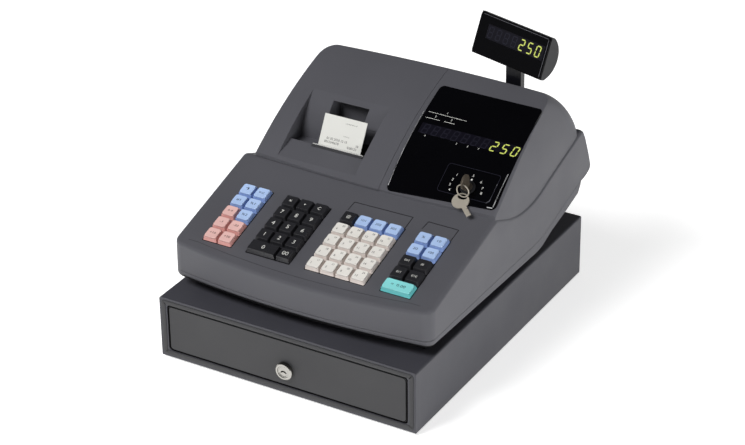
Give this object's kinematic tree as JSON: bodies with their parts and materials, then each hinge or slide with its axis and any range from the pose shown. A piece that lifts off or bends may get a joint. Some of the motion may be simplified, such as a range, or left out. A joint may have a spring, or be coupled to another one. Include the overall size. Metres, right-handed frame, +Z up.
{
  "type": "ticket register",
  "caption": "Electronic ticket register: sloping key deck, receipt printer under a hinged cover, cashier window, swivelling customer display, on a lockable cash drawer case.",
  "frame": {"origin": "table level, in the middle of the overall width and depth", "axes": "+X to the cashier's right, +Y to the rear, +Z up; the keys and the drawer face -Y"},
  "size_m": [0.36, 0.46, 0.3563],
  "materials": {
    "case_paint": "satin",
    "front_paint": "satin",
    "bare_steel": "satin",
    "rubber": "matt",
    "black_plastic": "matt",
    "chrome": "polished",
    "cabinet_grey": "fine texture",
    "paper": "matt",
    "aluminium": "satin",
    "black_gloss": "gloss",
    "display_module": "gloss",
    "board_green": "satin",
    "nickel": "satin",
    "key_blue": "satin",
    "key_pink": "satin",
    "key_white": "satin",
    "key_teal": "satin",
    "key_black": "satin"
  },
  "bodies": {
    "cabinet": {"drawer_case": "case_paint", "rubber_feet": "rubber", "drawer_runners": "bare_steel", "drawer_latch": "bare_steel", "eject_spring": "bare_steel", "lower_cabinet": "cabinet_grey", "upper_cabinet": "cabinet_grey", "receipt_paper": "paper", "printer_frame": "black_plastic", "print_head": "aluminium", "display_window": "black_gloss", "operator_display": "display_module", "keyboard_plate": "black_plastic", "main_board": "board_green", "power_transformer": "bare_steel", "mode_switch": "black_plastic", "cable_gland": "black_plastic"},
    "drawer": {"drawer_front": "front_paint", "drawer_tray": "bare_steel", "till_tray": "black_plastic", "coin_tray": "black_plastic", "lock_barrel": "chrome"},
    "lock": {"lock_plug": "chrome"},
    "cover": {"printer_cover": "cabinet_grey", "cutter_blade": "bare_steel"},
    "paper_roll": {"paper_roll": "paper"},
    "platen": {"platen_roller": "rubber"},
    "mode_key": {"mode_key": "nickel", "key_ring": "nickel", "spare_key": "nickel"},
    "display_pole": {"display_pole": "black_plastic"},
    "display_head": {"head_housing": "cabinet_grey", "head_window": "black_gloss", "head_display": "display_module"},
    "clip_1": {"bill_clip_1": "bare_steel"},
    "clip_2": {"bill_clip_2": "bare_steel"},
    "clip_3": {"bill_clip_3": "bare_steel"},
    "clip_4": {"bill_clip_4": "bare_steel"},
    "clip_5": {"bill_clip_5": "bare_steel"},
    "key_0": {"key_0": "key_black"},
    "key_00": {"key_00": "key_black"},
    "key_1": {"key_1": "key_black"},
    "key_2": {"key_2": "key_black"},
    "key_3": {"key_3": "key_black"},
    "key_4": {"key_4": "key_black"},
    "key_5": {"key_5": "key_black"},
    "key_6": {"key_6": "key_black"},
    "key_7": {"key_7": "key_black"},
    "key_8": {"key_8": "key_black"},
    "key_9": {"key_9": "key_black"},
    "key_multiply": {"key_multiply": "key_black"},
    "key_decimal": {"key_decimal": "key_black"},
    "key_clear": {"key_clear": "key_black"},
    "keys_left_blue": {"keys_left_blue": "key_blue"},
    "keys_left_pink": {"keys_left_pink": "key_pink"},
    "keys_department": {"keys_department": "key_white"},
    "keys_function_row": {"keys_function_row": "key_blue"},
    "keys_right_blue": {"keys_right_blue": "key_blue"},
    "keys_right_black": {"keys_right_black": "key_black"},
    "key_total": {"key_total": "key_teal"}
  },
  "joints": [
    {"name": "drawer_slide", "type": "slide", "parent": "cabinet", "child": "drawer", "axis": [0, -1, 0], "range_m": [0, 0.3]},
    {"name": "lock_turn", "type": "hinge", "parent": "drawer", "child": "lock", "pos_m": [0, -0.225, 0.03505], "axis": [0, -1, 0], "range_deg": [0, 90]},
    {"name": "clip_1_lift", "type": "hinge", "parent": "drawer", "child": "clip_1", "pos_m": [0, 0.0945, 0.0635], "axis": [-1, 0, 0], "range_deg": [0, 40], "stiffness_Nm_per_rad": 0.05, "springref_deg": -17.19},
    {"name": "clip_2_lift", "type": "hinge", "parent": "drawer", "child": "clip_2", "pos_m": [0, 0.0945, 0.0635], "axis": [-1, 0, 0], "range_deg": [0, 40], "stiffness_Nm_per_rad": 0.05, "springref_deg": -17.19},
    {"name": "clip_3_lift", "type": "hinge", "parent": "drawer", "child": "clip_3", "pos_m": [0, 0.0945, 0.0635], "axis": [-1, 0, 0], "range_deg": [0, 40], "stiffness_Nm_per_rad": 0.05, "springref_deg": -17.19},
    {"name": "clip_4_lift", "type": "hinge", "parent": "drawer", "child": "clip_4", "pos_m": [0, 0.0945, 0.0635], "axis": [-1, 0, 0], "range_deg": [0, 40], "stiffness_Nm_per_rad": 0.05, "springref_deg": -17.19},
    {"name": "clip_5_lift", "type": "hinge", "parent": "drawer", "child": "clip_5", "pos_m": [0, 0.0945, 0.0635], "axis": [-1, 0, 0], "range_deg": [0, 40], "stiffness_Nm_per_rad": 0.05, "springref_deg": -17.19},
    {"name": "cover_lift", "type": "hinge", "parent": "cabinet", "child": "cover", "pos_m": [0, 0.184, 0.251], "axis": [-1, 0, 0], "range_deg": [0, 70]},
    {"name": "paper_roll_spin", "type": "hinge", "parent": "cabinet", "child": "paper_roll", "pos_m": [-0.06, 0.106, 0.205], "axis": [-1, 0, 0], "continuous": true},
    {"name": "platen_spin", "type": "hinge", "parent": "cabinet", "child": "platen", "pos_m": [-0.06, 0.0145, 0.194], "axis": [-1, 0, 0], "continuous": true},
    {"name": "mode_key_turn", "type": "hinge", "parent": "cabinet", "child": "mode_key", "pos_m": [0.1296, -0.0073, 0.21509], "axis": [0, -0.5717, 0.8204], "range_deg": [-60, 60]},
    {"name": "pole_lift", "type": "slide", "parent": "cabinet", "child": "display_pole", "axis": [0, 0, 1], "range_m": [-0.016, 0]},
    {"name": "head_swivel", "type": "hinge", "parent": "display_pole", "child": "display_head", "pos_m": [0.1029, 0.1645, 0.32], "axis": [0, 0, 1], "range_deg": [-90, 196]},
    {"name": "key_0_press", "type": "slide", "parent": "cabinet", "child": "key_0", "axis": [0, 0.2766, -0.961], "range_m": [0, 0.003], "stiffness_N_per_m": 180, "springref_m": -0.002},
    {"name": "key_00_press", "type": "slide", "parent": "cabinet", "child": "key_00", "axis": [0, 0.2766, -0.961], "range_m": [0, 0.003], "stiffness_N_per_m": 180, "springref_m": -0.002},
    {"name": "key_1_press", "type": "slide", "parent": "cabinet", "child": "key_1", "axis": [0, 0.2766, -0.961], "range_m": [0, 0.003], "stiffness_N_per_m": 180, "springref_m": -0.002},
    {"name": "key_2_press", "type": "slide", "parent": "cabinet", "child": "key_2", "axis": [0, 0.2766, -0.961], "range_m": [0, 0.003], "stiffness_N_per_m": 180, "springref_m": -0.002},
    {"name": "key_3_press", "type": "slide", "parent": "cabinet", "child": "key_3", "axis": [0, 0.2766, -0.961], "range_m": [0, 0.003], "stiffness_N_per_m": 180, "springref_m": -0.002},
    {"name": "key_4_press", "type": "slide", "parent": "cabinet", "child": "key_4", "axis": [0, 0.2766, -0.961], "range_m": [0, 0.003], "stiffness_N_per_m": 180, "springref_m": -0.002},
    {"name": "key_5_press", "type": "slide", "parent": "cabinet", "child": "key_5", "axis": [0, 0.2766, -0.961], "range_m": [0, 0.003], "stiffness_N_per_m": 180, "springref_m": -0.002},
    {"name": "key_6_press", "type": "slide", "parent": "cabinet", "child": "key_6", "axis": [0, 0.2766, -0.961], "range_m": [0, 0.003], "stiffness_N_per_m": 180, "springref_m": -0.002},
    {"name": "key_7_press", "type": "slide", "parent": "cabinet", "child": "key_7", "axis": [0, 0.2766, -0.961], "range_m": [0, 0.003], "stiffness_N_per_m": 180, "springref_m": -0.002},
    {"name": "key_8_press", "type": "slide", "parent": "cabinet", "child": "key_8", "axis": [0, 0.2766, -0.961], "range_m": [0, 0.003], "stiffness_N_per_m": 180, "springref_m": -0.002},
    {"name": "key_9_press", "type": "slide", "parent": "cabinet", "child": "key_9", "axis": [0, 0.2766, -0.961], "range_m": [0, 0.003], "stiffness_N_per_m": 180, "springref_m": -0.002},
    {"name": "key_multiply_press", "type": "slide", "parent": "cabinet", "child": "key_multiply", "axis": [0, 0.2766, -0.961], "range_m": [0, 0.003], "stiffness_N_per_m": 180, "springref_m": -0.002},
    {"name": "key_decimal_press", "type": "slide", "parent": "cabinet", "child": "key_decimal", "axis": [0, 0.2766, -0.961], "range_m": [0, 0.003], "stiffness_N_per_m": 180, "springref_m": -0.002},
    {"name": "key_clear_press", "type": "slide", "parent": "cabinet", "child": "key_clear", "axis": [0, 0.2766, -0.961], "range_m": [0, 0.003], "stiffness_N_per_m": 180, "springref_m": -0.002},
    {"name": "keys_left_blue_press", "type": "slide", "parent": "cabinet", "child": "keys_left_blue", "axis": [0, 0.2766, -0.961], "range_m": [0, 0.003], "stiffness_N_per_m": 450, "springref_m": -0.002},
    {"name": "keys_left_pink_press", "type": "slide", "parent": "cabinet", "child": "keys_left_pink", "axis": [0, 0.2766, -0.961], "range_m": [0, 0.003], "stiffness_N_per_m": 450, "springref_m": -0.002},
    {"name": "keys_department_press", "type": "slide", "parent": "cabinet", "child": "keys_department", "axis": [0, 0.2766, -0.961], "range_m": [0, 0.003], "stiffness_N_per_m": 1200, "springref_m": -0.002},
    {"name": "keys_function_row_press", "type": "slide", "parent": "cabinet", "child": "keys_function_row", "axis": [0, 0.2766, -0.961], "range_m": [0, 0.003], "stiffness_N_per_m": 450, "springref_m": -0.002},
    {"name": "keys_right_blue_press", "type": "slide", "parent": "cabinet", "child": "keys_right_blue", "axis": [0, 0.2766, -0.961], "range_m": [0, 0.003], "stiffness_N_per_m": 450, "springref_m": -0.002},
    {"name": "keys_right_black_press", "type": "slide", "parent": "cabinet", "child": "keys_right_black", "axis": [0, 0.2766, -0.961], "range_m": [0, 0.003], "stiffness_N_per_m": 450, "springref_m": -0.002},
    {"name": "key_total_press", "type": "slide", "parent": "cabinet", "child": "key_total", "axis": [0, 0.2766, -0.961], "range_m": [0, 0.003], "stiffness_N_per_m": 450, "springref_m": -0.002}
  ],
  "couplings": [
    {"joint": "platen_spin", "follows": "paper_roll_spin", "ratio": 3.619}
  ]
}
